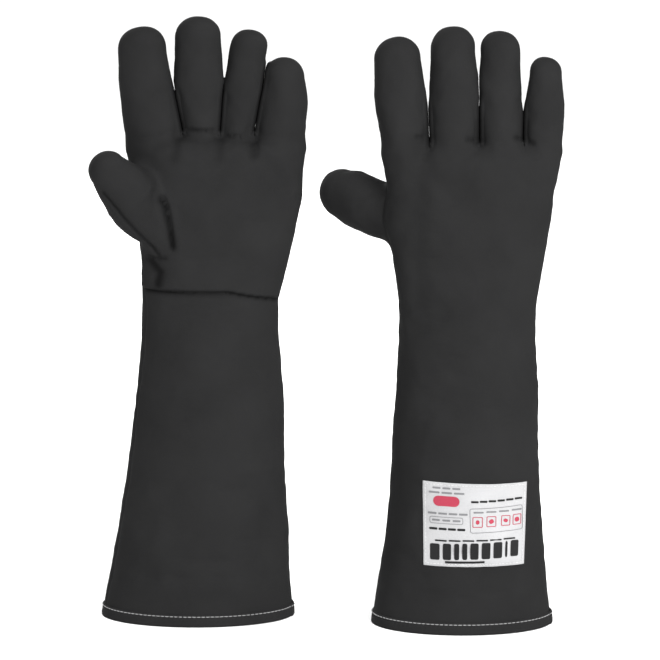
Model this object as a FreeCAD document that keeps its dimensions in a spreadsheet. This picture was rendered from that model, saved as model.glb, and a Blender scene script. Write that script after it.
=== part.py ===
"""A pair of elbow-length insulated gloves for handling cryogens, standing upright on their cuffs.

Each glove is a stack of three nested layers: an outer shell of sewn panels, a padding and a lining.
The left glove turns its palm to -Y and the right glove the back of its hand, thumbs towards -X.
Every layer is cut where the glove bends: at the wrist and at the root of each digit.
Millimetres and degrees. +Z runs from the cuffs to the fingertips, and the cuffs stand on z = 0.
"""

import FreeCAD, Part
import os
import sys

SIDES = ("left", "right")
FINGERS = ("index", "middle", "ring", "little")
DIGITS = ("thumb",) + FINGERS

# Digits whose shell is one piece, wrapped round and sewn along one side.
WRAPPED = ("index", "little")

# Which way the palm faces, along Y.
PALM_SIGN = {"left": -1, "right": 1}

# Thicknesses and heights that both gloves share.
SHARED = {
    "shell_thickness": 0.8,
    "padding_thickness": 4.0,
    "lining_thickness": 1.0,
    "flex_gap": 0.6,
    "hem_fold": 1.0,
    "hem_height": 7.5,
    "hem_tape": 1.0,
    "tape_clearance": 0.05,
    "stitch_height": 6.4,
    "stitch_width": 0.7,
    "stitch_thickness": 0.5,
    "wrist_height": 237,
    "knuckle_height": 358,
    "finger_root_depth": 34,
    "finger_root_taper": 0.66,
    "thumb_root_depth": 34,
    "thumb_root_taper": 0.92,
    "overrun": 0.05,
    "seam_offset": 0.4,
}

# Label on the back of the right sleeve.
LABEL = {
    "label_width": 77,
    "label_height": 63,
    "label_centre_x": 10,
    "label_centre_z": 81,
    "label_thickness": 0.4,
    "label_clearance": 0.1,
    "label_seam_inset": 1.6,
    "label_seam_width": 0.6,
    "label_thread": 0.3,
}

# Where each glove's own axis stands in the pair.
PLACES = {
    "left_place_x": -93.2,
    "left_place_y": 12,
    "right_place_x": 102.3,
    "right_place_y": -12,
}

SECTION_FIELDS = ("height", "centre", "half_width", "half_depth")

# Elliptical sections of the sleeve, from the hem to the wrist.
SLEEVE = {
    "left": [(1, -0.4, 69.6, 44), (40, 2.4, 65, 41), (100, 6.1, 58.4, 37), (165, 9.4, 54, 33.2)],
    "right": [(1, 0.4, 65, 44), (40, 1, 60.8, 41), (100, 2.1, 55.2, 37), (165, 3.9, 52.2, 33.2)],
}

# Elliptical sections of the hand, from the wrist to the knuckles.
HAND = {
    "left": [
        (237, 10.6, 49.4, 29.5),
        (272, 15, 54.5, 26.5),
        (312, 17, 60.5, 23.5),
        (345, 14.7, 64.5, 21),
        (358, 14.5, 64, 19.5),
    ],
    "right": [
        (237, 4, 50.4, 29.5),
        (272, 5.2, 56, 26.5),
        (312, 6.3, 60.8, 23.5),
        (345, 6.8, 64.8, 21),
        (358, 6.6, 65.6, 19.5),
    ],
}

DIGIT_FIELDS = ("x", "y", "z", "yaw", "pitch", "roll", "length", "root_radius", "tip_radius")

# Each digit: the middle of its root, its turn, its length beyond the root, and its radii.
DIGIT = {
    "left": {
        "thumb": (-46, -25, 314, 0, -45, 20.5, 43.5, 20.6, 14.6),
        "index": (-31.2, 0, 364, 0, -6.4, 6, 78, 19.6, 16.4),
        "middle": (4.6, 0, 364, 0, -2.4, 6, 86.5, 13.6, 15.8),
        "ring": (30.7, 0, 364, 0, 8.9, 6, 77, 11.8, 12),
        "little": (62.4, 0, 364, 0, 4, 6, 54.5, 17.6, 14),
    },
    "right": {
        "thumb": (-68.5, 29, 308, -73.3, -71.2, 39.2, 41, 20.2, 17.4),
        "index": (-43, 0, 364, 0, -4.4, -6, 71.5, 17, 16.6),
        "middle": (-6.6, 0, 364, 0, 0.1, -6, 78, 17.2, 15.8),
        "ring": (27.6, 0, 364, 0, 0.3, -6, 76, 15.2, 13.8),
        "little": (59, 0, 364, 0, 3.4, -6, 57, 14.8, 11.2),
    },
}

SHELL, PADDING, LINING = "shell", "padding", "lining"
LAYERS = (SHELL, PADDING, LINING)

# How far each boundary between layers lies inside the glove's outside.
DEPTHS = (
    "0",
    "dims.shell_thickness",
    "(dims.shell_thickness + dims.padding_thickness)",
    "(dims.shell_thickness + dims.padding_thickness + dims.lining_thickness)",
)

# Half the side of a block that is larger than the whole pair.
REACH = 600

doc = FreeCAD.newDocument("gloves")
sheet = doc.addObject("Spreadsheet::Sheet", "dims")
pieces = {}


def fill_sheet():
    """Writes every driving dimension into the sheet under its own alias."""
    cells = {**SHARED, **LABEL, **PLACES}
    for side in SIDES:
        for part_name, sections in (("sleeve", SLEEVE[side]), ("hand", HAND[side])):
            for number, section in enumerate(sections):
                for field, value in zip(SECTION_FIELDS, section):
                    cells[f"{side}_{part_name}_{number}_{field}"] = value
        for digit in DIGITS:
            for field, value in zip(DIGIT_FIELDS, DIGIT[side][digit]):
                cells[f"{side}_{digit}_{field}"] = value
    for row, (alias, value) in enumerate(cells.items(), start=1):
        sheet.set(f"A{row}", alias)
        sheet.set(f"B{row}", str(value))
        sheet.setAlias(f"B{row}", alias)
    doc.recompute()


def add(kind, name, **expressions):
    """Adds an object and binds its properties to the sheet. Two underscores stand for a dot."""
    made = doc.addObject(kind, name)
    for path, expression in expressions.items():
        made.setExpression(path.replace("__", "."), expression)
    return made


def cut(name, base, tool):
    made = doc.addObject("Part::Cut", name)
    made.Base = base
    made.Tool = tool
    return made


def common(name, base, tool):
    made = doc.addObject("Part::Common", name)
    made.Base = base
    made.Tool = tool
    return made


def fuse(name, shapes):
    made = doc.addObject("Part::MultiFuse", name)
    made.Shapes = shapes
    return made


def keep(node, made):
    """Names a finished sub-part."""
    made.Label = node
    pieces[node] = made
    return made


def ellipse(name, x, y, z, half_width, half_depth):
    return add(
        "Part::Ellipse",
        name,
        MajorRadius=half_width,
        MinorRadius=half_depth,
        Placement__Base__x=x,
        Placement__Base__y=y,
        Placement__Base__z=z,
    )


def loft(name, sections, ruled=True):
    """A solid through elliptical sections, each (x, y, z, half width, half depth) in expressions.

    A ruled one runs straight from section to section, and any other one in a smooth curve.
    """
    made = doc.addObject("Part::Loft", name)
    made.Sections = [ellipse(f"{name}_section_{n}", *s) for n, s in enumerate(sections)]
    made.Solid = True
    made.Ruled = ruled
    return made


def block(name, placement, x, y, z):
    """A box between two limits along each of its own axes. The limits are expressions."""
    return add(
        "Part::Box",
        name,
        Length=f"{x[1]} - ({x[0]})",
        Width=f"{y[1]} - ({y[0]})",
        Height=f"{z[1]} - ({z[0]})",
        Placement=f"{placement} * placement(vector({x[0]}; {y[0]}; {z[0]}); rotation(0; 0; 0))",
    )


def upright(side):
    """The placement of a glove's own frame in the pair."""
    return f"placement(vector(dims.{side}_place_x; dims.{side}_place_y; 0); rotation(0; 0; 0))"


def body_section(side, part_name, number, inset, height=None):
    """One section of the sleeve or the hand, drawn in from the outside by an inset."""
    stem = f"dims.{side}_{part_name}_{number}"
    return (
        f"dims.{side}_place_x + {stem}_centre",
        f"dims.{side}_place_y",
        height or f"{stem}_height",
        f"{stem}_half_width - {inset}",
        f"{stem}_half_depth - {inset}",
    )


def sleeve_form(side, name, inset):
    """The sleeve's solid form, from the fold of the hem to the wrist."""
    sections = [body_section(side, "sleeve", n, inset) for n in range(len(SLEEVE[side]))]
    sections.append(body_section(side, "hand", 0, inset, "dims.wrist_height - dims.flex_gap"))
    return loft(name, sections)


def digit_placement(side, digit):
    stem = f"dims.{side}_{digit}"
    return (
        f"placement(vector(dims.{side}_place_x + {stem}_x; dims.{side}_place_y + {stem}_y; {stem}_z);"
        f" rotation({stem}_yaw; {stem}_pitch; {stem}_roll))"
    )


def digit_root(side, digit, name, inset, end):
    """The root of a digit: it widens from inside the hand up to a height in the digit's own frame."""
    radius = f"dims.{side}_{digit}_root_radius"
    kind = "thumb" if digit == "thumb" else "finger"
    depth, taper = f"dims.{kind}_root_depth", f"dims.{kind}_root_taper"
    lowered = f"placement(vector(0; 0; 0 - {depth}); rotation(0; 0; 0))"
    return add(
        "Part::Cone",
        name,
        Radius1=f"{radius} * {taper} - {inset}",
        Radius2=f"{radius} + {end} * {radius} * (1 - {taper}) / {depth} - {inset}",
        Height=f"{depth} + {end}",
        Placement=f"{digit_placement(side, digit)} * {lowered}",
    )


def digit_form(side, digit, name, inset, start):
    """A digit's solid form above its root: a tapering stall with a round tip."""
    stem = f"dims.{side}_{digit}"
    shoulder = f"({stem}_length - {stem}_tip_radius)"
    stall = add(
        "Part::Cone",
        f"{name}_stall",
        Radius1=f"{stem}_root_radius - {inset}",
        Radius2=f"{stem}_tip_radius - {inset}",
        Height=f"{shoulder} - ({start})",
        Placement__Base__z=start,
    )
    tip = add(
        "Part::Sphere",
        f"{name}_tip",
        Radius=f"{stem}_tip_radius - {inset}",
        Placement__Base__z=shoulder,
    )
    form = fuse(name, [stall, tip])
    form.setExpression("Placement", digit_placement(side, digit))
    return form


def hand_form(side, name, inset, number):
    """The solid form of the hand with the roots of all five digits.

    Each inner form's roots run a little further, so that a layer ends as an open sleeve.
    """
    last = len(HAND[side]) - 1
    sections = [body_section(side, "hand", n, inset) for n in range(last)]
    sections.append(body_section(side, "hand", last, inset, f"dims.knuckle_height - {inset}"))
    end = f"{number} * dims.overrun"
    roots = [digit_root(side, d, f"{name}_{d}", inset, end) for d in DIGITS]
    palm = loft(f"{name}_palm", sections, ruled=False)
    return fuse(name, [palm] + roots)


def layers(name, make_form):
    """The nested layers between one form and the next, by layer name."""
    forms = [make_form(f"{name}_form_{n}", depth, n) for n, depth in enumerate(DEPTHS)]
    return {layer: cut(f"{name}_{layer}_layer", forms[n], forms[n + 1]) for n, layer in enumerate(LAYERS)}


def panels(side, name, shell, placement):
    """Parts a shell along its side seams and keeps the two panels as sub-parts."""
    low, seam, high = f"-{REACH}", "dims.seam_offset", f"{REACH}"
    everywhere = (low, high)
    front = block(f"{name}_front_half", placement, everywhere, (low, seam), everywhere)
    rear = block(f"{name}_rear_half", placement, everywhere, (seam, high), everywhere)
    palm, back = (front, rear) if PALM_SIGN[side] < 0 else (rear, front)
    keep(f"{name}_palm_panel", common(f"{name}_palm", shell, palm))
    keep(f"{name}_back_panel", common(f"{name}_back", shell, back))


def build_sleeve(side):
    stem = f"{side}_sleeve"
    made = layers(stem, lambda name, inset, number: sleeve_form(side, name, inset))
    panels(side, stem, made[SHELL], upright(side))
    keep(f"{stem}_padding", made[PADDING])
    keep(f"{stem}_lining", made[LINING])


def hem_form(side, name, growth):
    """A short straight form round the sleeve's open end, grown outwards or, below 0, inwards."""
    stem = f"dims.{side}_sleeve"
    taper = f"(({stem}_0_half_width - {stem}_1_half_width) / {stem}_1_height * dims.hem_height)"
    y, x = f"dims.{side}_place_y", f"dims.{side}_place_x"
    wide, deep = f"{stem}_0_half_width + {growth}", f"{stem}_0_half_depth + {growth}"
    return loft(name, [(x, y, "0", wide, deep), (x, y, "dims.hem_height", f"{wide} - {taper}", deep)])


def build_hem(side):
    """A tape folded round the sleeve's raw edge, and the seam that holds it."""
    inner = f"0 - {DEPTHS[-1]} - dims.hem_tape"
    outside = hem_form(side, f"{side}_hem_outside", "dims.hem_tape")
    ring = cut(f"{side}_hem_ring", outside, hem_form(side, f"{side}_hem_inside", inner))
    wall = cut(
        f"{side}_hem_wall",
        sleeve_form(side, f"{side}_hem_wall_outside", "(0 - dims.tape_clearance)"),
        sleeve_form(side, f"{side}_hem_wall_inside", f"({DEPTHS[-1]} + dims.tape_clearance)"),
    )
    keep(f"{side}_hem_binding", cut(f"{side}_hem_tape", ring, wall))
    thread = cut(
        f"{side}_hem_thread_ring",
        hem_form(side, f"{side}_hem_thread_form", "dims.hem_tape + dims.stitch_thickness"),
        outside,
    )
    everywhere = (f"-{REACH}", f"{REACH}")
    band = ("dims.stitch_height", "dims.stitch_height + dims.stitch_width")
    level = block(f"{side}_hem_thread_level", upright(side), everywhere, everywhere, band)
    keep(f"{side}_hem_stitching", common(f"{side}_hem_thread", thread, level))


def build_hand(side):
    stem = f"{side}_hand"
    made = layers(stem, lambda name, inset, number: hand_form(side, name, inset, number))
    panels(side, stem, made[SHELL], upright(side))
    keep(f"{stem}_padding", made[PADDING])
    keep(f"{stem}_lining", made[LINING])


def build_digit(side, digit):
    stem = f"{side}_{digit}"
    made = layers(
        stem,
        lambda name, inset, number: digit_form(
            side, digit, name, inset, f"dims.flex_gap - {number} * dims.overrun"
        ),
    )
    keep(f"{stem}_padding", made[PADDING])
    keep(f"{stem}_lining", made[LINING])
    if digit in WRAPPED:
        keep(f"{stem}_shell", made[SHELL])
    else:
        panels(side, stem, made[SHELL], digit_placement(side, digit))


def label_window(name, margin):
    """A block in front of the right sleeve, as large as the label less a margin all round."""
    centre, level = "dims.label_centre_x", "dims.label_centre_z"
    across, up = f"(dims.label_width / 2 - {margin})", f"(dims.label_height / 2 - {margin})"
    return block(
        name,
        upright("right"),
        (f"{centre} - {across}", f"{centre} + {across}"),
        (f"-{REACH}", "0"),
        (f"{level} - {up}", f"{level} + {up}"),
    )


def sleeve_skin(name, start, end):
    """A skin that follows the outside of the right sleeve, from one height off it to another."""
    return cut(
        name,
        sleeve_form("right", f"{name}_outside", f"(0 - ({end}))"),
        sleeve_form("right", f"{name}_inside", f"(0 - ({start}))"),
    )


def build_label():
    top = "dims.label_clearance + dims.label_thickness"
    window = label_window("label_window", "0")
    patch = sleeve_skin("label_skin", "dims.label_clearance", top)
    keep("right_sleeve_label", common("label_patch", patch, window))
    frame = cut(
        "label_seam_frame",
        label_window("label_seam_outside", "dims.label_seam_inset"),
        label_window("label_seam_inside", "(dims.label_seam_inset + dims.label_seam_width)"),
    )
    thread = sleeve_skin("label_thread_skin", top, f"{top} + dims.label_thread")
    keep("right_label_stitching", common("label_seam", thread, frame))


def check_document():
    doc.recompute()
    failed = [o.Name for o in doc.Objects if {"Invalid", "Error"} & set(o.State)]
    if failed:
        sys.exit(f"these objects failed: {failed}")
    for node, made in pieces.items():
        if made.Shape.isNull() or not made.Shape.isValid() or not made.Shape.Solids:
            sys.exit(f"{node} has no valid solid")


def export_parts():
    os.makedirs("parts", exist_ok=True)
    for node, made in pieces.items():
        made.Shape.exportStep(f"parts/{node}.step")


fill_sheet()
for side in SIDES:
    build_sleeve(side)
    build_hem(side)
    build_hand(side)
    for digit in DIGITS:
        build_digit(side, digit)
build_label()
check_document()
for node, made in sorted(pieces.items()):
    print(f"{node}: {len(made.Shape.Solids)} solid(s), {made.Shape.Volume:.0f} mm3")
export_parts()
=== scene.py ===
"""A pair of padded elbow-length gloves on their cuffs, the left palm and the right back to the camera."""

import math
import bpy
import numpy as np
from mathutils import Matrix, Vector
from mathutils.bvhtree import BVHTree
from mathutils.kdtree import KDTree


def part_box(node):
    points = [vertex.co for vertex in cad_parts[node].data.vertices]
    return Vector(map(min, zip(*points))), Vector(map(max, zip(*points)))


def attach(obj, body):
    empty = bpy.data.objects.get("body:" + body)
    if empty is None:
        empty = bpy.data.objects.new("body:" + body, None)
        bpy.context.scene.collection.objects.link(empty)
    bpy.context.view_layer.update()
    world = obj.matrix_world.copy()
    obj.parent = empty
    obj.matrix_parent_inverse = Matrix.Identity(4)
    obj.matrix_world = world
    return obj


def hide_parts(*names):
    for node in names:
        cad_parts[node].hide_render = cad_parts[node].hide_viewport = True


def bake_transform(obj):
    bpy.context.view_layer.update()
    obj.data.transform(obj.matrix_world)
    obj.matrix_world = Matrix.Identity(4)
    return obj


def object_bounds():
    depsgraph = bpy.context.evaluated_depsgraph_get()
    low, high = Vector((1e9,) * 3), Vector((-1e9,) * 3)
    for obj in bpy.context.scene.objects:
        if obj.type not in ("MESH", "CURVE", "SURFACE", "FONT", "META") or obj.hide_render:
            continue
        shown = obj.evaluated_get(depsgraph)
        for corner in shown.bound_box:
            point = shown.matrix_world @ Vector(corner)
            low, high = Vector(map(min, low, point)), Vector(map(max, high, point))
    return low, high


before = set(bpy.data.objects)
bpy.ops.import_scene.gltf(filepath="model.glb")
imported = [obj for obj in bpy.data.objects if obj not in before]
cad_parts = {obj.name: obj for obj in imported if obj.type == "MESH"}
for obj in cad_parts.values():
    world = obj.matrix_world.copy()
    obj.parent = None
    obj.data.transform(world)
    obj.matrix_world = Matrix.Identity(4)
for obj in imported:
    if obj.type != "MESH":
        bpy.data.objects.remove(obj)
CAD_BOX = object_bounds()

MM = 0.001
SIDES = ("left", "right")
FINGERS = ("index", "middle", "ring", "little")
DIGITS = ("thumb",) + FINGERS
PALM_SIGN = {"left": -1.0, "right": 1.0}

# The wall's thickness, the height of the cuff's raw edge, and where hand and digits begin.
WALL = 5.8
BOTTOM = 1.2
WRIST_Z = 237.0
KNUCKLE_Z = {"left": 360.0, "right": 357.0}

# Sections of the sleeve and hand: height, centre across, half width, half depth.
BODY = {
    "left": (
        (0, -0.6, 71.4, 44), (40, 2.3, 66.5, 41), (100, 6.3, 59.7, 37), (165, 9.5, 55.1, 33.2),
        (210, 9.8, 51.4, 31), (240, 10.2, 50.2, 29.5), (272, 14.7, 55.2, 26.5), (312, 16.8, 61.3, 23.5),
        (345, 15, 65.1, 21), (380, 14.8, 65.3, 18),
    ),
    "right": (
        (0, 0.6, 66.6, 44), (40, 1.2, 61.5, 41), (100, 2.4, 55.3, 37), (165, 4.1, 52.7, 33.2),
        (210, 3.6, 51.1, 31), (240, 3.4, 50.6, 29.5), (272, 4.6, 55.3, 26.5), (312, 5.7, 60.1, 23.5),
        (345, 6.4, 64.3, 21), (380, 6.3, 65.1, 18),
    ),
}

# Each digit: the middle of its root, its turn (yaw, pitch, roll), its length, half widths at the root,
# middle and tip, half depths at the root and tip, and how far its middle bows across the hand.
DIGIT = {
    "left": {
        "thumb": ((-45.0, -25, 316.6), (0, -37.5, 20.5), 45.8, (20.2, 17.4, 13.6), (18.5, 14), 0),
        "index": ((-31.0, 0, 364), (0, -5.7, 6), 79, (20.3, 19.4, 18.4), (16.5, 14.5), -1.6),
        "middle": ((4.7, 0, 364), (0, -2.1, 6), 86.5, (13.4, 18.8, 17.4), (13.8, 14.4), -0.5),
        "ring": ((30.4, 0, 364), (0, 8.5, 6), 77, (12, 14.2, 13.5), (12.8, 12), -0.5),
        "little": ((62.4, 0, 364), (0, 3.6, 6), 54.5, (18.3, 17.0, 14.4), (15, 13), 0.9),
    },
    "right": {
        "thumb": ((-68.5, 29, 308.5), (-73.3, -71.2, 39.2), 41, (21.4, 21.2, 17.8), (18, 16), 0),
        "index": ((-43, 0, 364), (0, -4.5, -6), 71.5, (17.4, 19.2, 17.6), (16, 14.5), -0.9),
        "middle": ((-6.6, 0, 364), (0, -0.7, -6), 78.5, (17.5, 18.1, 16.8), (16.2, 14.4), 0),
        "ring": ((27.4, 0, 364), (0, -0.9, -6), 75.5, (15.2, 15.6, 15.0), (15, 13.2), 0),
        "little": ((58.3, 0, 364), (0, 2.0, -6), 56.5, (14.8, 14.2, 12.2), (13.6, 11.4), 0),
    },
}

# How far up each finger lies against the next one, the gap left there, and where across they meet.
TOUCHING = {"left": (32, 30, 54), "right": (24, 24, 20)}
TOUCH_GAP = 0.1
CROTCH = {"left": (-12, 19, 46), "right": (-25, 11.5, 44)}

# Sewn lines and folds on the side that faces the camera: path in (x, z), half width, depth.
CREASES = {
    "left": (
        (((-8, 365.5), (17, 364.5)), 1.4, 1.7),
        (((20, 361.5), (40, 360.5)), 1.4, 1.5),
        (((40, 358), (44, 350), (66, 324)), 6.5, 2.0),
        (((-24, 316), (-21.5, 311), (-18.5, 296), (-16.5, 281)), 2.5, 2.2),
        (((-65, 324), (-50, 303), (-26.5, 274)), 1.5, 1.4),
        (((-34, 271), (-26, 262), (-28, 253)), 3.2, 2.2),
        (((-34, 272), (-22, 272.5)), 1.6, 1.1),
        (((-12, 366), (-16, 346)), 4.0, 1.0),
        (((18, 362), (17, 346)), 4.0, 1.1),
        (((42, 364), (43, 348)), 3.5, 1.4),
    ),
    "right": (
        (((-25.5, 374), (-26.5, 362)), 2.2, 1.6),
        (((11, 374), (10.5, 360)), 2.2, 1.6),
        (((44.5, 374), (44, 362)), 2.4, 1.6),
        (((-34, 359), (-22, 337), (-3, 311)), 7.5, 1.3),
        (((-31, 355), (-33, 306), (-33, 246)), 7.0, 1.5),
        (((-34, 364), (-24, 363)), 1.6, 1.1),
        (((3, 362), (13, 360)), 2.0, 1.0),
        (((38, 363), (50, 359)), 2.0, 1.1),
    ),
}


# The seam across the left wrist: its heights at three places across, how far the hand's edge stands
# over the sleeve there, and the depth of the groove under it.
WRIST_SEAM = ((-40, 24, 62), (248.5, 249, 240.5))
WRIST_STEP = 1.9
WRIST_GROOVE = 1.7

# How deep the side seams of the body and of the digits are drawn in.
SIDE_SEAM = 0.8
DIGIT_SEAM = 0.5


def turned(angles):
    """The axes of a frame turned by yaw, pitch and roll, as columns."""
    yaw, pitch, roll = np.radians(angles)
    cy, sy, cp, sp, cr, sr = (f(a) for a in (yaw, pitch, roll) for f in (math.cos, math.sin))
    about_z = np.array([[cy, -sy, 0], [sy, cy, 0], [0, 0, 1]])
    about_y = np.array([[cp, 0, sp], [0, 1, 0], [-sp, 0, cp]])
    about_x = np.array([[1, 0, 0], [0, cr, -sr], [0, sr, cr]])
    return about_z @ about_y @ about_x


def smooth_table(stations, column):
    """A station table's column over height, with its corners rounded off."""
    table = np.array(stations, float)
    heights = np.arange(-40.0, 420.0, 1.0)
    raw = np.interp(heights, table[:, 0], table[:, column])
    kernel = np.hanning(33)
    kernel /= kernel.sum()
    return heights, np.convolve(np.pad(raw, 16, mode="edge"), kernel, mode="valid")


def smooth_min(a, b, reach):
    """The union of two fields with a fillet."""
    h = np.clip(0.5 + 0.5 * (b - a) / reach, 0, 1)
    return b + (a - b) * h - reach * h * (1 - h)


def smooth_max(a, b, reach):
    return -smooth_min(-a, -b, reach)


def smooth_step(value, low, high):
    t = np.clip((value - low) / (high - low), 0, 1)
    return t * t * (3 - 2 * t)


def near_path(x, z, path):
    """The distance in the x-z plane to a polyline."""
    best = None
    for (ax, az), (bx, bz) in zip(path, path[1:]):
        dx, dz = bx - ax, bz - az
        t = np.clip(((x - ax) * dx + (z - az) * dz) / (dx * dx + dz * dz), 0, 1)
        away = np.hypot(x - ax - t * dx, z - az - t * dz)
        best = away if best is None else np.minimum(best, away)
    return best


def unevenness(points, seed):
    """Irregular rises and dips of the padding, well under a millimetre, as a sum of many faint waves."""
    rng = np.random.default_rng(seed)
    total = np.zeros(len(points))
    for length, height in ((95, 0.34), (52, 0.26), (28, 0.15), (14, 0.07)):
        ways = rng.normal(size=(18, 3))
        ways *= (6.283 / length * rng.uniform(0.7, 1.3, 18) / np.linalg.norm(ways, axis=1))[:, None]
        phases = rng.uniform(0, 6.283, 18)
        total += height / 3 * np.sin(points @ ways.T + phases).sum(axis=1)
    return total


class Glove:
    """One glove's form as a field: negative inside, about the distance to the outside in millimetres."""

    def __init__(self, side):
        self.side = side
        self.palm = PALM_SIGN[side]
        self.tables = [smooth_table(BODY[side], column) for column in (1, 2, 3)]
        low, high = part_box(f"{side}_hem_binding")
        self.place = np.array([(low[0] + high[0]) / 2, (low[1] + high[1]) / 2, 0.0]) / MM

    def section(self, z):
        return tuple(np.interp(z, *table) for table in self.tables)

    def body(self, x, y, z):
        centre, wide, deep = self.section(z)
        u, v = (x - centre) / wide, y / deep
        power = 2.0 + 0.35 * smooth_step(z, 225, 290)
        r = np.maximum((np.abs(u) ** power + np.abs(v) ** power) ** (1 / power), 1e-3)
        slope = np.sqrt((np.abs(u) / wide) ** 2 + (np.abs(v) / deep) ** 2) / r
        tube = (r - 1) / np.maximum(slope, 1 / wide)
        return smooth_max(tube, z - KNUCKLE_Z[self.side], 14)

    def digit_local(self, digit, x, y, z):
        place, angles = DIGIT[self.side][digit][:2]
        axes = turned(angles)
        dx, dy, dz = x - place[0], y - place[1], z - place[2]
        return tuple(dx * axes[0, k] + dy * axes[1, k] + dz * axes[2, k] for k in range(3))

    def digit(self, digit, x, y, z):
        _, _, length, widths, depths, bow = DIGIT[self.side][digit]
        u, v, w = self.digit_local(digit, x, y, z)
        u = u - bow * np.sin(math.pi * np.clip(w / length, 0, 1))
        thumb = digit == "thumb"
        bend = 0.0022 if thumb else 0.0011
        v = v - self.palm * bend * np.clip(w, 0, None) ** 2 + self.palm * bend * length * length * 0.33
        dome = widths[2] * 1.02
        shoulder = length - dome
        along = np.clip(w, -40, shoulder)
        root = 0.94 if thumb else 0.56
        neck = 1.0
        if thumb and self.side == "left":
            root, neck = 0.56, 0.84
            u = u + 3.4 * smooth_step(-w, -6, 13)
        stations = (-40, -13, 2, shoulder * 0.55, shoulder)
        wide = np.interp(along, stations, (widths[0] * root, widths[0] * neck) + widths)
        deep = np.interp(along, (-40, 2, shoulder), (depths[0] * root,) + depths)
        over = np.clip(w - shoulder, 0, None) / dome
        blunt = 2.0 if thumb else 2.4
        r = np.maximum(np.sqrt((u / wide) ** 2 + (v / deep) ** 2 + over**blunt), 1e-3)
        tip = blunt / 2 * over ** (blunt - 1) / dome
        slope = np.sqrt((u / wide**2) ** 2 + (v / deep**2) ** 2 + tip**2) / r
        tube = (r - 1) / np.maximum(slope, 1 / np.maximum(wide, deep))
        seam = np.exp(-((v / 1.2) ** 2)) * smooth_step(np.abs(u), 0.6 * wide, 0.85 * wide)
        tube = tube + DIGIT_SEAM * seam * smooth_step(w, 4, 12)
        return smooth_max(tube, -38 - w, 6)

    def digits(self, x, y, z):
        return {d: self.digit(d, x, y, z) for d in DIGITS}

    def outside(self, x, y, z, detail=True):
        """The whole outside: body and digits joined with fillets, then seams, folds and tucks."""
        found = self.digits(x, y, z)
        body = self.body(x, y, z)
        reach = 11.0
        if self.side == "left":
            reach = 5.0 + 9.0 * smooth_step(self.digit_local("thumb", x, y, z)[0], 0, 10)
        whole = smooth_min(body, found["thumb"], reach)
        fingers = found["index"]
        for name in FINGERS[1:]:
            fingers = np.minimum(fingers, found[name])
        whole = smooth_min(whole, fingers, 6)
        if not detail:
            return whole
        centre, wide, _ = self.section(z)
        leaning = np.where((x < centre) & (self.side == "left"), -9.0 * smooth_step(-z, -262, -236), 0.0)
        edge = smooth_step(np.abs(x - centre), 0.8 * wide, 0.9 * wide)
        side_seam = np.exp(-(((y - leaning) / 1.4) ** 2)) * edge
        whole = whole + SIDE_SEAM * side_seam * smooth_step(-z, -350, -325)
        facing = smooth_step(-y, 4, 9)
        for path, half_width, depth in CREASES[self.side]:
            away = near_path(x, z, path)
            whole = whole + depth * np.exp(-((away / half_width) ** 2)) * facing
        if self.side == "left":
            seam = np.interp(x, *WRIST_SEAM)
            step = smooth_step(z - seam, -0.6, 0.6) * smooth_step(seam + 30 - z, 0, 26)
            under = np.exp(-(((z - seam + 1.7) / 1.4) ** 2))
            whole = whole - facing * (WRIST_STEP * step - WRIST_GROOVE * under)
        return whole

    def painted_shade_amount(self, points):
        """Painted shade at each point, 0 to 1: how deep it lies in a sewn line or fold, under the wrist
        seam, or where fingers lie against each other.
        """
        x, y, z = points.T
        facing = smooth_step(-y, 4, 9)
        # Painted contact shade where fingers lie against each other.
        most = self.pressed(points)[0] * 0.8
        for path, half_width, depth in CREASES[self.side]:
            sharp = min(max((5.2 - half_width) / 2.5, 0.0), 1.0)
            near = np.exp(-((near_path(x, z, path) / half_width) ** 2))
            most = np.maximum(most, near * facing * sharp * min(depth / 2.2, 1))
        # Painted shadow under the lap of the wrist seam.
        if self.side == "left":
            seam = np.interp(x, *WRIST_SEAM)
            most = np.maximum(most, facing * np.exp(-(((z - seam + 1.0) / 1.3) ** 2)))
        return most

    def held(self, points):
        """How firmly seams, folds and the hem hold the shell at each point, 0 to 1."""
        x, y, z = points.T
        centre, wide, _ = self.section(z)
        seam = np.exp(-((y / 5) ** 2)) * smooth_step(np.abs(x - centre), 0.75 * wide, 0.9 * wide)
        most = np.maximum(seam, smooth_step(-z, -26, -8))
        for path, half_width, _ in CREASES[self.side]:
            near = np.exp(-((near_path(x, z, path) / (half_width + 2)) ** 2))
            most = np.maximum(most, near * smooth_step(-y, 2, 8))
        if self.side == "left":
            most = np.maximum(most, np.exp(-(((z - 247) / 5) ** 2)))
        for digit in DIGITS:
            u, v, w = self.digit_local(digit, x, y, z)
            wide = DIGIT[self.side][digit][3][1]
            inside = (np.hypot(u, v) < 1.5 * wide) & (w > 0)
            edge = np.exp(-((v / 4) ** 2)) * smooth_step(np.abs(u), 0.6 * wide, 0.85 * wide)
            most = np.maximum(most, np.where(inside, edge, 0))
        return most

    def grid(self, fine):
        """Grid lines along X, Y and Z, closer together where fingers meet."""
        xs = np.arange(-128, 98, fine)
        for spot in CROTCH[self.side]:
            xs = np.concatenate([xs[np.abs(xs - spot) > 7], np.arange(spot - 6.9, spot + 7, fine * 0.5)])
        ys = np.arange(-62, 62, fine) if self.side == "left" else np.arange(-62, 78, fine)
        sleeve = np.arange(BOTTOM, 228, 1.6 * fine)
        hand = np.arange(230, 342, 1.1 * fine)
        return np.sort(xs), ys, np.concatenate([sleeve, hand, np.arange(343, 456, fine)])

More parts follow.
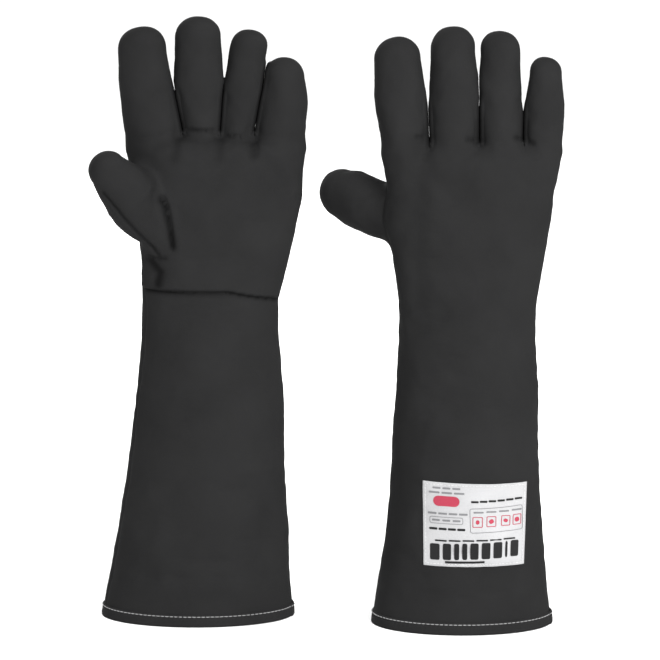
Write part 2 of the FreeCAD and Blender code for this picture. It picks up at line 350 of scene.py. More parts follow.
    def mesh(self, inset=0.0, coarse=1.0, detail=True):
        """(points, quads) of the surface an inset inside the outside. The cuff stays open."""
        xs, ys, zs = self.grid(1.35 * coarse)
        value = np.empty((len(xs), len(ys), len(zs)), np.float32)
        for k in range(0, len(zs), 24):
            block = np.meshgrid(xs, ys, zs[k:k + 24], indexing="ij")
            value[:, :, k:k + 24] = self.outside(*block, detail=False) + inset
        points, quads = surface_net(xs, ys, zs, value)
        rim = points[:, 2] < zs[1]
        for step in range(8 if coarse < 1.6 else 6):
            fitted = step >= 5
            slope = self.slope(points, detail and fitted)
            height = self.outside(*points.T, detail=detail and fitted) + inset
            push = -(height / np.maximum((slope**2).sum(1), 0.2))[:, None] * slope
            points = points + np.clip(push, -1.5, 1.5)
            if not fitted:
                points = relax(points, quads, ~rim)
            points[rim, 2] = BOTTOM
        return points, quads

    def pressed(self, points):
        """Where fingers lie against each other, 0 to 1, and how far each point must swell for it."""
        x, y, z = points.T
        found = {d: self.digit(d, x, y, z) for d in FINGERS}
        close = np.zeros(len(points))
        swell = np.zeros(len(points))
        for one, two, reach in zip(FINGERS, FINGERS[1:], TOUCHING[self.side]):
            for mine, other in ((one, two), (two, one)):
                _, _, w = self.digit_local(mine, x, y, z)
                gap = found[other]
                share = smooth_step(5.0 - gap, 0, 2.4) * smooth_step(w, -15, -7)
                share = share * smooth_step(reach + 6 - w, 0, 12)
                share = np.where((np.abs(found[mine]) < 1.6) & (gap > 0), share, 0)
                close = np.maximum(close, share)
                swell = np.maximum(swell, share * np.clip(gap - TOUCH_GAP, 0, None) / 2)
        return close, swell

    def slope(self, points, detail):
        """The field's gradient at points."""
        x, y, z = points.T
        e = 0.35
        return np.stack(
            [
                (self.outside(x + e, y, z, detail) - self.outside(x - e, y, z, detail)) / (2 * e),
                (self.outside(x, y + e, z, detail) - self.outside(x, y - e, z, detail)) / (2 * e),
                (self.outside(x, y, z + e, detail) - self.outside(x, y, z - e, detail)) / (2 * e),
            ],
            axis=1,
        )


def relax(points, quads, free):
    """Moves each free point a little towards the middle of its neighbours."""
    total = np.zeros_like(points)
    count = np.zeros(len(points))
    for a, b in ((0, 1), (1, 2), (2, 3), (3, 0)):
        for i, j in ((a, b), (b, a)):
            for axis in range(3):
                total[:, axis] += np.bincount(quads[:, i], points[quads[:, j], axis], len(points))
            count += np.bincount(quads[:, i], minlength=len(points))
    middle = total / np.maximum(count, 1)[:, None]
    return np.where(free[:, None], points + 0.5 * (middle - points), points)


def surface_net(xs, ys, zs, value):
    """The zero surface of a field on a rectilinear grid, as one point a cell and quads between them."""
    inside = value < 0
    nx, ny, nz = (n - 1 for n in value.shape)
    corners = [(i, j, k) for i in (0, 1) for j in (0, 1) for k in (0, 1)]
    count = sum(inside[i:i + nx, j:j + ny, k:k + nz].astype(np.int8) for i, j, k in corners)
    cells = np.argwhere((count > 0) & (count < 8))
    number = -np.ones((nx, ny, nz), np.int32)
    number[tuple(cells.T)] = np.arange(len(cells))
    grid = (xs, ys, zs)
    total = np.zeros((len(cells), 3))
    hits = np.zeros(len(cells))
    for a in corners:
        for axis in range(3):
            if a[axis]:
                continue
            b = tuple(1 if n == axis else a[n] for n in range(3))
            va = value[tuple((cells + a).T)].astype(float)
            vb = value[tuple((cells + b).T)].astype(float)
            crossed = (va < 0) != (vb < 0)
            t = np.where(crossed, va / np.where(crossed, va - vb, 1), 0)
            for n in range(3):
                start = grid[n][cells[:, n] + a[n]]
                end = grid[n][cells[:, n] + b[n]]
                total[:, n] += np.where(crossed, start + t * (end - start), 0)
            hits += crossed
    points = total / hits[:, None]
    quads = []
    for axis in range(3):
        one, two = (axis + 1) % 3, (axis + 2) % 3
        low = [slice(None)] * 3
        high = [slice(None)] * 3
        low[axis], high[axis] = slice(0, -1), slice(1, None)
        differs = inside[tuple(low)] != inside[tuple(high)]
        at = np.argwhere(differs)
        keep = (at[:, one] > 0) & (at[:, two] > 0)
        keep &= (at[:, one] < number.shape[one]) & (at[:, two] < number.shape[two])
        at = at[keep]
        around = []
        for da, db in ((-1, -1), (0, -1), (0, 0), (-1, 0)):
            cell = at.copy()
            cell[:, one] += da
            cell[:, two] += db
            around.append(number[tuple(cell.T)])
        faces = np.stack(around, axis=1)
        outward = inside[tuple(at.T)]
        faces[~outward] = faces[~outward][:, ::-1]
        quads.append(faces)
    quads = np.concatenate(quads)
    return points, quads[(quads >= 0).all(1)]


def corner_normals(points, quads):
    """One normal a point, from the faces round it."""
    a, b, c, d = (points[quads[:, k]] for k in range(4))
    facing = np.cross(c - a, d - b)
    total = np.zeros_like(points)
    for k in range(4):
        for axis in range(3):
            total[:, axis] += np.bincount(quads[:, k], facing[:, axis], len(points))
    return total / np.maximum(np.linalg.norm(total, axis=1), 1e-9)[:, None]


def new_object(name, points, faces, normals=None, rest=None, smooth=True):
    """A mesh object in metres, with the place of each point at rest kept for its material."""
    mesh = bpy.data.meshes.new(name)
    mesh.from_pydata(points.tolist(), [], faces.tolist() if hasattr(faces, "tolist") else faces)
    mesh.update()
    made = mesh.attributes.new("rest", "FLOAT_VECTOR", "POINT")
    made.data.foreach_set("vector", np.asarray(points if rest is None else rest, np.float32).ravel())
    mesh.polygons.foreach_set("use_smooth", np.full(len(mesh.polygons), smooth))
    if normals is not None:
        mesh.normals_split_custom_set_from_vertices(normals.tolist())
    made = bpy.data.objects.new(name, mesh)
    bpy.context.scene.collection.objects.link(made)
    return made


def part_of(points, quads, normals, chosen):
    """The chosen faces as a mesh of their own: (points, faces, normals, the numbers of the kept points)."""
    faces = quads[chosen]
    used = np.unique(faces)
    number = np.zeros(len(points), int)
    number[used] = np.arange(len(used))
    return points[used], number[faces], normals[used], used


def owners(glove, points, quads):
    """For each face the piece that it belongs to: 0 the sleeve, 1 the hand, 2 and up the digits."""
    middle = points[quads].mean(1)
    x, y, z = middle.T
    owner = np.where(z > WRIST_Z, 1, 0)
    found = glove.digits(x, y, z)
    body = glove.body(x, y, z)
    nearest = np.min([found[d] for d in DIGITS], axis=0)
    for number, digit in enumerate(DIGITS):
        _, _, w = glove.digit_local(digit, x, y, z)
        start = 4.0 if digit == "thumb" else 0.0
        mine = (found[digit] <= nearest + 1e-6) & (w > start) & (found[digit] < body)
        owner[mine] = 2 + number
    return owner


# ---------------------------------------------------------------- materials

# A wave texture repeats every 2 pi / 20 of its own units.
WAVES_TO_SCALE = 2 * math.pi / 20


def node(tree, kind, **inputs):
    made = tree.nodes.new(kind)
    for name, value in inputs.items():
        key = name.replace("_", " ")
        if key in made.inputs:
            made.inputs[key].default_value = value
        else:
            setattr(made, name, value)
    return made


def math_node(tree, operation, first, second):
    made = tree.nodes.new("ShaderNodeMath")
    made.operation = operation
    for k, value in enumerate((first, second)):
        if isinstance(value, (int, float)):
            made.inputs[k].default_value = value
        else:
            tree.links.new(value, made.inputs[k])
    return made.outputs[0]


def cloth_material(name, dark, light, pitch, roughness, depth, sheen=0.25):
    """A twill: two crossed sets of threads a pitch apart, with slow colour variation and lint.

    Lengths are in millimetres. A mesh's per-point values paint shade into its seams and folds,
    under the wrist seam and where fingers touch: the colour goes towards near black there.
    """
    made = bpy.data.materials.new(name)
    made.use_nodes = True
    tree = made.node_tree
    links = tree.links
    shader = tree.nodes["Principled BSDF"]
    shader.inputs["Sheen Weight"].default_value = sheen
    shader.inputs["Sheen Roughness"].default_value = 0.5
    shader.inputs["Specular IOR Level"].default_value = 0.05
    where = node(tree, "ShaderNodeAttribute", attribute_name="rest")
    scale = WAVES_TO_SCALE / (pitch * MM)
    threads = []
    for angle in (0.9, -0.9):
        mapping = node(tree, "ShaderNodeMapping")
        mapping.inputs["Rotation"].default_value = (0.35, angle, 0.2)
        links.new(where.outputs["Vector"], mapping.inputs["Vector"])
        wave = node(tree, "ShaderNodeTexWave", Scale=scale, Distortion=0.6, Detail=1.0)
        wave.inputs["Detail Scale"].default_value = 2.0
        links.new(mapping.outputs["Vector"], wave.inputs["Vector"])
        threads.append(wave.outputs["Fac"])
    weave = math_node(tree, "MAXIMUM", threads[0], math_node(tree, "MULTIPLY", threads[1], 0.8))
    slow = node(tree, "ShaderNodeTexNoise", Scale=26.0, Detail=3.0)
    links.new(where.outputs["Vector"], slow.inputs["Vector"])
    fuzz = node(tree, "ShaderNodeTexNoise", Scale=900.0, Detail=3.0)
    links.new(where.outputs["Vector"], fuzz.inputs["Vector"])
    mixed = math_node(tree, "MULTIPLY", weave, 0.45)
    mixed = math_node(tree, "ADD", mixed, math_node(tree, "MULTIPLY", slow.outputs["Fac"], 0.5))
    mixed = math_node(tree, "ADD", mixed, math_node(tree, "MULTIPLY", fuzz.outputs["Fac"], 0.25))
    ramp = node(tree, "ShaderNodeValToRGB")
    ramp.color_ramp.elements[0].position = 0.3
    ramp.color_ramp.elements[0].color = (*dark, 1)
    ramp.color_ramp.elements[1].position = 0.85
    ramp.color_ramp.elements[1].color = (*light, 1)
    links.new(mixed, ramp.inputs["Fac"])
    # Painted shade: per-point values mix the colour towards near black in seams, folds and finger contacts.
    painted_shade = node(tree, "ShaderNodeAttribute", attribute_name="painted_shade")
    shade = node(tree, "ShaderNodeMix", data_type="RGBA", blend_type="MIX")
    links.new(math_node(tree, "MULTIPLY", painted_shade.outputs["Fac"], 0.88), shade.inputs[0])
    links.new(ramp.outputs["Color"], shade.inputs[6])
    shade.inputs[7].default_value = (0.0015, 0.0015, 0.0015, 1)
    links.new(shade.outputs[2], shader.inputs["Base Color"])
    rough = math_node(tree, "ADD", math_node(tree, "MULTIPLY", slow.outputs["Fac"], 0.12), roughness - 0.06)
    links.new(rough, shader.inputs["Roughness"])
    bump = node(tree, "ShaderNodeBump", Strength=0.55, Distance=depth * MM)
    height = math_node(tree, "ADD", weave, math_node(tree, "MULTIPLY", fuzz.outputs["Fac"], 0.8))
    links.new(height, bump.inputs["Height"])
    links.new(bump.outputs["Normal"], shader.inputs["Normal"])
    return made


BLACK = ((0.0078, 0.0078, 0.0079), (0.0155, 0.0155, 0.0157))
SHELL = cloth_material("shell_twill", *BLACK, 0.75, 0.9, 0.12, 0.0)
LINING = cloth_material("brushed_lining", (0.03, 0.03, 0.032), (0.06, 0.06, 0.062), 1.1, 0.95, 0.15)
TAPE = cloth_material("hem_tape", (0.008, 0.008, 0.0082), (0.017, 0.017, 0.0172), 0.6, 0.88, 0.1, 0.0)
THREAD = cloth_material("grey_thread", (0.12, 0.12, 0.12), (0.26, 0.26, 0.26), 0.35, 0.7, 0.05)
LABEL_CLOTH = cloth_material("label_satin", (0.25, 0.25, 0.254), (0.37, 0.37, 0.375), 0.5, 0.55, 0.05)
LABEL_THREAD = cloth_material("label_thread", (0.36, 0.36, 0.36), (0.5, 0.5, 0.5), 0.35, 0.6, 0.05)
INK = cloth_material("black_print", (0.004, 0.004, 0.0042), (0.01, 0.01, 0.0104), 0.5, 0.6, 0.03)
RED_INK = cloth_material("red_print", (0.22, 0.02, 0.04), (0.32, 0.04, 0.065), 0.5, 0.6, 0.03)
GREY_INK = cloth_material("grey_print", (0.1, 0.1, 0.105), (0.16, 0.16, 0.165), 0.5, 0.6, 0.03)


def dress(made, material):
    made.data.materials.clear()
    made.data.materials.append(material)
    return made


# ---------------------------------------------------------------- the gloves

def shell_nodes(side, part_name):
    """The CAD nodes of the outer shell of a sleeve, hand or digit."""
    if part_name in ("index", "little"):
        return [f"{side}_{part_name}_shell"]
    return [f"{side}_{part_name}_palm_panel", f"{side}_{part_name}_back_panel"]


def inner_nodes(side, part_name):
    return [f"{side}_{part_name}_padding", f"{side}_{part_name}_lining"]


# The cloth simulation: how much the cloth grows, the farthest that a point may settle, how much of that
# is kept, and how many frames it runs.
CLOTH_GROWTH = 0.015
CLOTH_REACH = 1.2
CLOTH_SHARE = 0.6
CLOTH_TICKS = 20


def settle(glove):
    """Presses a coarse copy of the shell outwards as cloth, held at its seams and folds.

    Gives the copy's points and normals, and how far each point settled along its normal in millimetres.
    """
    points, quads = glove.mesh(0.0, 3.0, False)
    normals = corner_normals(points, quads)
    made = new_object(f"{glove.side}_cloth", points * MM, quads)
    held = glove.held(points)
    group = made.vertex_groups.new(name="held")
    for level in range(1, 11):
        chosen = np.nonzero(np.round(held * 10) == level)[0]
        group.add(chosen.tolist(), level / 10, "REPLACE")
    cloth = made.modifiers.new("cloth", "CLOTH")
    settings = cloth.settings
    settings.quality = 6
    settings.mass = 0.2
    settings.tension_stiffness = 20
    settings.compression_stiffness = 20
    settings.shear_stiffness = 8
    settings.bending_stiffness = 0.4
    settings.shrink_min = -CLOTH_GROWTH
    settings.use_pressure = True
    settings.uniform_pressure_force = 4
    settings.effector_weights.gravity = 0
    settings.vertex_group_mass = "held"
    cloth.collision_settings.use_collision = False
    cloth.collision_settings.use_self_collision = False
    for tick in range(1, CLOTH_TICKS + 1):
        bpy.context.scene.frame_set(tick)
    evaluated = made.evaluated_get(bpy.context.evaluated_depsgraph_get())
    settled = np.empty(3 * len(points), np.float32)
    evaluated.to_mesh().vertices.foreach_get("co", settled)
    evaluated.to_mesh_clear()
    bpy.context.scene.frame_set(1)
    bpy.data.objects.remove(made)
    moved = ((settled.reshape(-1, 3) / MM - points) * normals).sum(axis=1)
    moved = np.clip(moved - np.median(moved), -CLOTH_REACH, CLOTH_REACH)
    return points, normals, CLOTH_SHARE * moved


def carried(points, normals, source, source_normals, values):
    """Values known at a coarse surface's points, spread over a finer surface that faces the same way."""
    tree = KDTree(len(source))
    for k, spot in enumerate(source.tolist()):
        tree.insert(spot, k)
    tree.balance()
    found = [tree.find_n(spot, 7) for spot in points.tolist()]
    index = np.array([[f[1] for f in row] for row in found])
    away = np.array([[f[2] for f in row] for row in found])
    same = (normals[:, None, :] * source_normals[index]).sum(axis=2).clip(0, 1)
    weight = np.exp(-((away / 3.4) ** 2)) * same + 1e-9
    return (weight * values[index]).sum(axis=1) / weight.sum(axis=1)


def outer_surface(glove):
    """The shell's finished surface: the form, the fingers pressed together, the cloth's own folds."""
    points, quads = glove.mesh(0.0, 1.0)
    normals = corner_normals(points, quads)
    rise = unevenness(points, 3 if glove.side == "left" else 8)
    rise = rise + carried(points, normals, *settle(glove))
    close, swell = glove.pressed(points)
    rise = rise * smooth_step(points[:, 2], 8, 30) * (1 - close) + swell
    return points + normals * rise[:, None], quads


def build_layer(glove, kind, points, quads):
    """One layer of a glove, cut where the glove bends into a sleeve, a hand and five digits."""
    side = glove.side
    normals = corner_normals(points, quads)
    owner = owners(glove, points, quads)
    place = glove.place
    names = ("sleeve", "hand") + DIGITS
    for number, part_name in enumerate(names):
        own_points, faces, own_normals, used = part_of(points, quads, normals, owner == number)
        made = new_object(f"{side}_{part_name}_{kind}", (own_points + place) * MM, faces, own_normals)
        if kind == "shell":
            # Painted shade for seams, folds and touching fingers, darkened in the shell's material.
            painted_shade = made.data.attributes.new("painted_shade", "FLOAT", "POINT")
            painted_shade.data.foreach_set("value", glove.painted_shade_amount(own_points).astype(np.float32))
            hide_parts(*shell_nodes(side, part_name))
            dress(made, SHELL)
        else:
            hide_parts(*inner_nodes(side, part_name))
            dress(made, LINING)
        if part_name == "hand":
            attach(made, f"{side}_hand")
        elif part_name == "sleeve":
            centre = glove.section(WRIST_Z)[0]
            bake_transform(made)
        else:
            root, angles = DIGIT[side][part_name][:2]
            way = turned(angles)[:, 2]
            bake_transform(made)


def oval(glove, z, off, count):
    """Points round the sleeve at a height, moved outwards by off, and their outward directions."""
    centre, wide, deep = glove.section(z)
    turn = np.linspace(0, 2 * math.pi, 1440, endpoint=False)
    raw = np.stack([centre + wide * np.cos(turn), deep * np.sin(turn)], axis=1)
    step = np.linalg.norm(np.roll(raw, -1, axis=0) - raw, axis=1)
    total = np.concatenate([[0], np.cumsum(step)])
    turn = np.interp(np.arange(count) / count * total[-1], total, np.linspace(0, 2 * math.pi, 1441))
    out = np.stack([deep * np.cos(turn), wide * np.sin(turn)], axis=1)
    out /= np.linalg.norm(out, axis=1)[:, None]
    flat = np.stack([centre + wide * np.cos(turn), deep * np.sin(turn)], axis=1) + out * off
    return flat, out, total[-1]


# The tape's section from its outer edge, under the wall, to its inner edge: how far off the wall's
# outside, and how high.
HEM_PROFILE = (
    (0.1, 9.3), (0.5, 9.15), (0.72, 8.6), (0.76, 7.9), (0.85, 5.6), (0.95, 2.8), (0.82, 0.9),
    (0.35, 0.12), (-0.8, 0.0), (-4.6, 0.0), (-6.0, 0.15), (-6.7, 1.0), (-6.85, 3.0), (-6.8, 8.2),
    (-6.2, 9.1), (-5.4, 9.2),
)
STITCH_HEIGHT = 8.0
STITCH_PITCH = 3.4


def tape_lap(turn, length):
    """Where the tape's end laps over its start, 0 to 1, at shares of a turn round the hem."""
    return smooth_step(5.0 - np.abs((turn + 0.515) % 1 - 0.5) * length, 0, 1.2)


def build_hem(glove):
    side = glove.side
    count = 480
    _, _, length = oval(glove, 0, 0, 12)
    stitches = round(length / STITCH_PITCH)
    rings = []
    turn = np.arange(count) / count
    lap = tape_lap(turn, length)
    for off, z in HEM_PROFILE:
        flat, out, _ = oval(glove, z, 0, count)
        near_stitch = math.exp(-(((z - STITCH_HEIGHT) / 2.2) ** 2))
        pucker = 0.16 * np.cos(2 * math.pi * stitches * turn) * near_stitch
        wave = 0.25 * np.sin(2 * math.pi * 7 * turn + 1) + 0.18 * np.sin(2 * math.pi * 13 * turn)
        outer = pucker + 0.75 * lap if off > 0 else 0
        flat = flat + out * (off + outer + wave * min(z / 8, 1) * 0.5)[:, None]
        height = z + (wave * 0.4 + 0.7 * lap if z > 5 else np.zeros(count))
        rings.append(np.column_stack([flat, height]))
    points = np.concatenate(rings)
    faces = []
    n = len(rings)
    for r in range(n):
        for k in range(count):
            k2, r2 = (k + 1) % count, (r + 1) % n
            if r2 == 0:
                continue
            faces.append((r * count + k, r2 * count + k, r2 * count + k2, r * count + k2))
    made = new_object(f"{side}_hem_fold", (points + glove.place) * MM, faces)
    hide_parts(f"{side}_hem_binding")
    dress(made, TAPE)
    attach(made, f"{side}_sleeve")
    paths = []
    for s in range(stitches):
        part = (s + np.linspace(0.1, 0.9, 7)) / stitches
        flat, out, _ = oval(glove, STITCH_HEIGHT, 0, stitches * 10)
        index = (np.round(part * stitches * 10)).astype(int) % (stitches * 10)
        lift = 0.82 + 0.26 * np.sin(np.linspace(0, math.pi, 7)) + 0.75 * tape_lap(part, length)
        spots = flat[index] + out[index] * lift[:, None]
        paths.append(np.column_stack([spots, np.full(7, STITCH_HEIGHT)]))
    made = tubes(f"{side}_hem_thread", paths, 0.34, glove.place)
    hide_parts(f"{side}_hem_stitching")
    dress(made, THREAD)
    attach(made, f"{side}_sleeve")


def tubes(name, paths, radius, place):
    """Many short threads, each a closed tube along its own path, as one mesh."""
    points, faces = [], []
    sides = 8
    for path in paths:
        path = np.asarray(path, float)
        start = len(points)
        along = np.gradient(path, axis=0)
        along /= np.linalg.norm(along, axis=1)[:, None]
        for k, (spot, way) in enumerate(zip(path, along)):
            one = np.cross(way, (0.31, 0.2, 0.93))
            one /= np.linalg.norm(one)
            two = np.cross(way, one)
            share = k / (len(path) - 1)
            thick = radius * (0.45 + 0.55 * math.sin(math.pi * min(max(share, 0.04), 0.96)) ** 0.5)
            for s in range(sides):
                turn = 2 * math.pi * s / sides
                points.append(spot + thick * (math.cos(turn) * one + math.sin(turn) * two))
        for k in range(len(path) - 1):
            for s in range(sides):
                a, b = start + k * sides + s, start + k * sides + (s + 1) % sides
                faces.append((a, b, b + sides, a + sides))
        faces.append(tuple(start + s for s in reversed(range(sides))))
        faces.append(tuple(start + (len(path) - 1) * sides + s for s in range(sides)))
    return new_object(name, (np.array(points) + place) * MM, faces)


# ---------------------------------------------------------------- the label

# The label's middle on the sleeve, its width and height, and how far its print stands off the sleeve.
LABEL_CENTRE = (8.7, 81.4)
LABEL_SIZE = (74.5, 62.0)
PRINT_LIFT = 1.0


def label_spot(u, w):
    """Label coordinates, each -1 to 1, to the sleeve's (x, z), with the patch a little out of true."""
    x = LABEL_CENTRE[0] + u * LABEL_SIZE[0] / 2 * (1 + 0.018 * w) + 0.3 * w
    z = LABEL_CENTRE[1] + w * LABEL_SIZE[1] / 2 * (0.985 - 0.015 * u) - 0.9 * u
    return x, z


class Ground:
    """The sleeve's own surface under the label. The label's cloth bridges its smallest dips."""

    def __init__(self, glove, points, quads):
        self.glove = glove
        tree = BVHTree.FromPolygons(points.tolist(), quads.tolist())
        self.marks = np.linspace(-1.05, 1.05, 61)
        raw = np.empty((61, 61))
        for i, u in enumerate(self.marks):
            for j, w in enumerate(self.marks):
                x, z = label_spot(u, w)
                raw[i, j] = tree.ray_cast((x, -120, z), (0, 1, 0))[0][1]
        soft = raw
        for _ in range(4):
            wide = np.pad(soft, 1, mode="edge")
            soft = (wide[:-2, 1:-1] + wide[2:, 1:-1] + wide[1:-1, :-2] + wide[1:-1, 2:] + 2 * soft) / 6
        self.depth = np.minimum(soft, raw)

    def spots(self, u, w, off):
        """Points at label coordinates, off the fabric by off."""
        u, w, off = np.broadcast_arrays(np.asarray(u, float), np.asarray(w, float), np.asarray(off, float))
        step = self.marks[1] - self.marks[0]
        i = np.clip(((u - self.marks[0]) / step).astype(int), 0, 59)
        j = np.clip(((w - self.marks[0]) / step).astype(int), 0, 59)
        a, b = (u - self.marks[i]) / step, (w - self.marks[j]) / step
        depth = self.depth
        y = (1 - a) * ((1 - b) * depth[i, j] + b * depth[i, j + 1])
        y = y + a * ((1 - b) * depth[i + 1, j] + b * depth[i + 1, j + 1])
        x, z = label_spot(u, w)
        centre, wide, deep = self.glove.section(z)
        out = np.stack([(x - centre) / wide**2, y / deep**2, np.zeros_like(x)], axis=-1)
        out /= np.linalg.norm(out, axis=-1)[..., None]
        return np.stack([x, y, z], axis=-1) + out * off[..., None]


def label_ripple(u, w):
    return 0.06 * np.sin(u * 9 + 1) * np.sin(w * 7)


def build_label(glove, ground):
    across, up = 72, 58
    u, w = np.meshgrid(np.linspace(-1, 1, across), np.linspace(-1, 1, up), indexing="ij")
    edge = np.minimum((1 - np.abs(u)) * LABEL_SIZE[0] / 2, (1 - np.abs(w)) * LABEL_SIZE[1] / 2)
    pucker = 0.1 * np.sin(u * 23) * np.exp(-edge / 3) - 0.32 * np.exp(-(((edge - 1.7) / 0.8) ** 2))
    upper = ground.spots(u, w, 0.75 + label_ripple(u, w) + pucker).reshape(-1, 3)
    lower = ground.spots(u, w, 0.05).reshape(-1, 3)
    number = np.arange(across * up).reshape(across, up)
    cells = (number[:-1, :-1], number[1:, :-1], number[1:, 1:], number[:-1, 1:])
    quads = np.stack(cells, -1).reshape(-1, 4)
    rim = np.concatenate([number[:, 0], number[-1, 1:], number[-2::-1, -1], number[0, -2:0:-1]])
    wall = [(a, a + across * up, b + across * up, b) for a, b in zip(rim, np.roll(rim, -1))]
    faces = quads.tolist() + (quads[:, ::-1] + across * up).tolist() + wall
    made = new_object("right_label_patch", (np.concatenate([upper, lower]) + glove.place) * MM, faces)
    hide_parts("right_sleeve_label")
    dress(made, LABEL_CLOTH)
    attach(made, "right_sleeve")
    loop = []
    inset_u, inset_w = 1 - 3.4 / LABEL_SIZE[0], 1 - 3.4 / LABEL_SIZE[1]
    corners = ((-inset_u, -inset_w), (inset_u, -inset_w), (inset_u, inset_w), (-inset_u, inset_w))
    for (au, aw), (bu, bw) in zip(corners, corners[1:] + corners[:1]):
        length = math.hypot((bu - au) * LABEL_SIZE[0], (bw - aw) * LABEL_SIZE[1]) / 2
        steps = round(length / 2.5)
        for s in range(steps):
            share = (s + np.linspace(0.12, 0.88, 5)) / steps
            lift = 0.5 + 0.3 * np.sin(np.linspace(0, math.pi, 5))
            loop.append(ground.spots(au + (bu - au) * share, aw + (bw - aw) * share, lift))
    made = tubes("right_label_thread", loop, 0.26, glove.place)
    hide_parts("right_label_stitching")
    dress(made, LABEL_THREAD)
    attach(made, "right_sleeve")
    build_print(glove, ground)


def rounded_bar(centre_u, centre_w, half_u, half_w, corner, turn=0.0):
    """The outline of a bar with rounded corners, in millimetres on the label from its middle."""
    outline = []
    for cx, cy, first in ((1, 1, 0), (-1, 1, 90), (-1, -1, 180), (1, -1, 270)):
        for step in range(5):
            a = math.radians(first + step * 22.5)
            x = cx * (half_u - corner) + corner * math.cos(a)
            y = cy * (half_w - corner) + corner * math.sin(a)
            outline.append(
                (
                    centre_u + x * math.cos(turn) - y * math.sin(turn),
                    centre_w + x * math.sin(turn) + y * math.cos(turn),
                )
            )
    return outline


def open_frame(centre_u, centre_w, half_u, half_w, line, corners, turn=0.0):
    """The outlines of a bar and of the hole in it, a line's width smaller all round."""
    outer = rounded_bar(centre_u, centre_w, half_u, half_w, corners[0], turn)
    hole = rounded_bar(centre_u, centre_w, half_u - line, half_w - line, corners[1], turn)
    return outer, hole


def finer(outline, hole):
    """Both edges of an open frame with more points along their straight sides."""
    steps = [max(1, math.ceil(math.dist(a, b) / 2.5)) for a, b in zip(outline, outline[1:] + outline[:1])]
    made = []
    for edge in (outline, hole):
        points = []
        for a, b, count in zip(edge, edge[1:] + edge[:1], steps):
            step = ((b[0] - a[0]) / count, (b[1] - a[1]) / count)
            points += [(a[0] + step[0] * k, a[1] + step[1] * k) for k in range(count)]
        made.append(points)
    return made


def build_print(glove, ground):
    """Generic print: plain bars and outlined boxes where a label carries its words and symbols."""
    black, grey, red = [], [], []
    widths = (8.2, 7.2, 4.8, 4.8, 7.2, 7.6, 7.6, 2.8, 7.0)
    at = -33.0
    for k, wide in enumerate(widths):
        black.append((rounded_bar(at + wide / 2, -20.4 + 0.3 * k, wide / 2 - 0.6, 6.1, 1.2), None))
        at += wide + 1.1
    for k in range(8):
        black.append((rounded_bar(-19.5 + k * 3.6, -27.8 + 0.07 * k, 1.9, 0.8, 0.2), None))
    for k in range(6):
        black.append((rounded_bar(-24.5 + k * 10, -11.9 + 0.3 * k, 4.3, 0.6, 0.5), None))
    for k in range(6):
        black.append((rounded_bar(-0.2 + k * 6.3, 17.7 + 0.32 * k, 2.7, 0.75, 0.5), None))
    for row, (left, right) in enumerate(((-31, -10), (-33.5, -7))):
        for k in range(3):
            wide = (right - left) / 3
            at = left + wide * (k + 0.5)
            grey.append((rounded_bar(at, 27 - row * 3.4, wide / 2 - 0.7, 0.7, 0.5), None))
    for k in range(4):
        grey.append((rounded_bar(-30.6 + k * 7.4, 8.2, 3.1, 0.7, 0.5), None))
        black.append((rounded_bar(-29.9 + k * 6.7, -3.2, 2.9, 0.85, 0.6), None))
    grey.append(open_frame(-20.5, 3.2, 12, 2.6, 0.4, (1.4, 1.1)))
    for k in range(3):
        grey.append((rounded_bar(-28 + k * 7.4, 3.2, 2.8, 0.7, 0.5), None))
    for k in range(4):
        grey.append((rounded_bar(2.6 + k * 9.2, 9.9 + 0.4 * k, 3.6, 0.6, 0.4), None))
    grey.append(open_frame(15.6, 4.4, 19.2, 9.2, 0.4, (1.6, 1.3), 0.045))
    red.append((rounded_bar(-20.5, 17.4, 9.4, 3.8, 3.7), None))
    for k, middle in enumerate((2.0, 12.0, 22.4, 30.6)):
        lift = 3.2 + 0.045 * (middle - 15)
        half = 3.7 - 0.2 * k
        red.append(open_frame(middle, lift, half, 3.9, 0.5, (0.8, 0.6)))
        red.append((rounded_bar(middle, lift, 1.3 + 0.4 * (k % 2), 1.6, 1.2, 0.6 * k), None))
    for name, shapes, material in (
        ("right_label_black_print", black, INK),
        ("right_label_grey_print", grey, GREY_INK),
        ("right_label_red_print", red, RED_INK),
    ):
        points, faces = [], []
        for outline, hole in shapes:
            if hole is not None:
                outline, hole = finer(outline, hole)
            start = len(points)
            points += outline
            n = len(outline)
            if hole is None:
                middle = np.mean(outline, axis=0)
                points.append(tuple(middle))
                faces += [(start + k, start + (k + 1) % n, start + n) for k in range(n)]
            else:
                points += hole
                for k in range(n):
                    after = (k + 1) % n
                    faces.append((start + k, start + after, start + n + after, start + n + k))
        flat = np.array(points)
        u, w = flat[:, 0] / (LABEL_SIZE[0] / 2), flat[:, 1] / (LABEL_SIZE[1] / 2)
        spots = ground.spots(u, w, PRINT_LIFT + label_ripple(u, w))
        made = new_object(name, (spots + glove.place) * MM, faces)
        dress(made, material)
        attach(made, "right_sleeve")


# ---------------------------------------------------------------- studio

FLOOR_REACH = 30.0


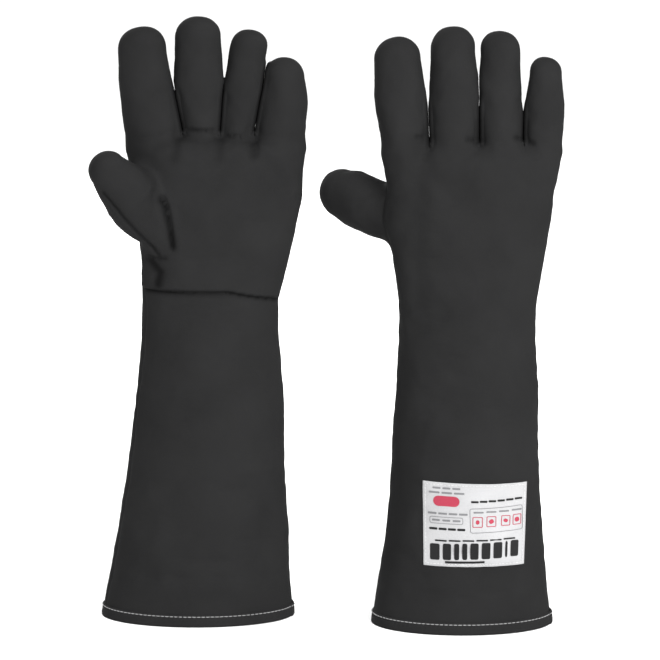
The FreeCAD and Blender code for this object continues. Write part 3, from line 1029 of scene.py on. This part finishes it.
def build_studio():
    """A wide pale floor under a sky that is white at the horizon, and soft lights."""
    low, high = CAD_BOX
    middle = (Vector(low) + Vector(high)) / 2
    corners = np.array([(-1.0, -1.0, 0.0), (1.0, -1.0, 0.0), (1.0, 1.0, 0.0), (-1.0, 1.0, 0.0)])
    floor = new_object("studio_floor", FLOOR_REACH * corners, [(0, 1, 2, 3)])
    paper = bpy.data.materials.new("studio_paper")
    paper.use_nodes = True
    shader = paper.node_tree.nodes["Principled BSDF"]
    shader.inputs["Roughness"].default_value = 0.9
    grain = node(paper.node_tree, "ShaderNodeTexNoise", Scale=40.0)
    ramp = node(paper.node_tree, "ShaderNodeValToRGB")
    ramp.color_ramp.elements[0].color = (0.94, 0.94, 0.94, 1)
    ramp.color_ramp.elements[1].color = (0.97, 0.97, 0.97, 1)
    paper.node_tree.links.new(grain.outputs["Fac"], ramp.inputs["Fac"])
    paper.node_tree.links.new(ramp.outputs["Color"], shader.inputs["Base Color"])
    floor.data.materials.append(paper)
    world = bpy.data.worlds.new("studio")
    bpy.context.scene.world = world
    world.use_nodes = True
    tree = world.node_tree
    tree.nodes["Background"].inputs["Strength"].default_value = 1.0
    way = node(tree, "ShaderNodeTexCoord")
    split = node(tree, "ShaderNodeSeparateXYZ")
    sky = node(tree, "ShaderNodeValToRGB")
    sky.color_ramp.elements[0].position = 0.12
    sky.color_ramp.elements[0].color = (1, 1, 1, 1)
    sky.color_ramp.elements[1].position = 0.4
    sky.color_ramp.elements[1].color = (0.42, 0.42, 0.42, 1)
    tree.links.new(way.outputs["Generated"], split.inputs["Vector"])
    tree.links.new(split.outputs["Z"], sky.inputs["Fac"])
    tree.links.new(sky.outputs["Color"], tree.nodes["Background"].inputs["Color"])
    bpy.context.scene.view_settings.view_transform = "Standard"
    for name, place, size, power in (
        ("key", (1.4, -2.7, 1.7), 1.6, 181),
        ("back", (-1.0, 1.9, 1.2), 1.4, 40),
    ):
        lamp = bpy.data.lights.new(name, "AREA")
        lamp.shape = "SQUARE"
        lamp.size = size
        lamp.energy = power
        made = bpy.data.objects.new(name, lamp)
        made.location = place
        made.rotation_euler = (middle - Vector(place)).to_track_quat("-Z", "Y").to_euler()
        bpy.context.scene.collection.objects.link(made)
    sun = bpy.data.lights.new("overhead", "SUN")
    sun.energy = 2.0
    sun.angle = 0.6
    bpy.context.scene.collection.objects.link(bpy.data.objects.new("overhead", sun))


# Metres, and degrees for the rise. The camera aims a little off the middle of the pair.
CAMERA_DISTANCE = 3.0
CAMERA_RISE = 10.0
VIEW_WIDTH = 0.486
AIM_SHIFT = (0.0038, -0.0076)


def build_camera():
    """The camera comes first: it looks along +Y at the middle of the pair, from a little above."""
    low, high = CAD_BOX
    middle = (Vector(low) + Vector(high)) / 2 + Vector((AIM_SHIFT[0], 0, AIM_SHIFT[1]))
    data = bpy.data.cameras.new("camera")
    data.sensor_width = 36.0
    data.lens = data.sensor_width * CAMERA_DISTANCE / VIEW_WIDTH
    data.clip_start = 0.05
    made = bpy.data.objects.new("camera", data)
    rise = math.radians(CAMERA_RISE)
    made.location = middle + Vector((0, -math.cos(rise), math.sin(rise))) * CAMERA_DISTANCE
    made.rotation_euler = (middle - made.location).to_track_quat("-Z", "Y").to_euler()
    bpy.context.scene.collection.objects.link(made)
    bpy.context.scene.camera = made


build_camera()
build_studio()
for side in SIDES:
    glove = Glove(side)
    surface = outer_surface(glove)
    build_layer(glove, "shell", *surface)
    build_layer(glove, "inner", *glove.mesh(WALL, 2.2, False))
    build_hem(glove)
    if side == "right":
        build_label(glove, Ground(glove, *surface))
